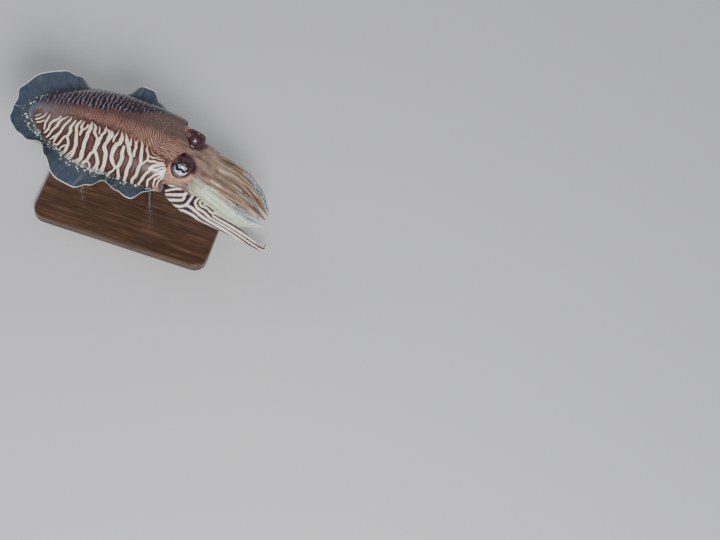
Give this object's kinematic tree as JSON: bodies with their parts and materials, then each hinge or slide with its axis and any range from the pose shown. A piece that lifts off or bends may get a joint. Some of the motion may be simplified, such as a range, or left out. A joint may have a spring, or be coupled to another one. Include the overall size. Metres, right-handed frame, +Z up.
{
  "type": "common cuttlefish on a display stand",
  "caption": "Life-size still model of a common cuttlefish in zebra display, hovering with rippling fins and one arm held out, on a plain display stand.",
  "frame": {"origin": "the middle of the stand base's underside", "axes": "+Z up; +Y towards the tail, with the head at -Y; the animal's right side is at -X"},
  "size_m": [0.1759, 0.3694, 0.1917],
  "materials": {
    "mantle_skin": "moist skin, cream zebra stripes on maroon brown, fine tan lines ahead",
    "head_skin": "moist skin, olive brown, zebra stripes on the cheek",
    "fin_skin": "thin translucent skin, blue grey with a white edge line",
    "arm_skin": "moist skin, olive to pale green with pale streaks and spots, suckers on the inner side",
    "funnel_skin": "smooth pale moist skin",
    "eye": "clear wet eyeball, silvery white with a black pupil like a W",
    "stand_base": "black stained wood, satin",
    "stand_rod": "brushed steel rod"
  },
  "bodies": {
    "root": {"mantle": "mantle_skin", "fin_right": "fin_skin", "fin_left": "fin_skin", "head": "head_skin", "eye_right": "eye", "eye_left": "eye", "funnel": "funnel_skin", "arm_1_right_root": "arm_skin", "arm_1_right_tip": "arm_skin", "arm_1_left_root": "arm_skin", "arm_1_left_tip": "arm_skin", "arm_2_right_root": "arm_skin", "arm_2_right_tip": "arm_skin", "arm_2_left_root": "arm_skin", "arm_2_left_tip": "arm_skin", "arm_3_right_root": "arm_skin", "arm_3_right_tip": "arm_skin", "arm_3_left_root": "arm_skin", "arm_3_left_tip": "arm_skin", "arm_4_right_root": "arm_skin", "arm_4_right_tip": "arm_skin", "arm_4_left_root": "arm_skin", "arm_4_left_tip": "arm_skin", "stand_base": "stand_base", "stand_rod_front": "stand_rod", "stand_rod_back": "stand_rod"}
  },
  "joints": []
}
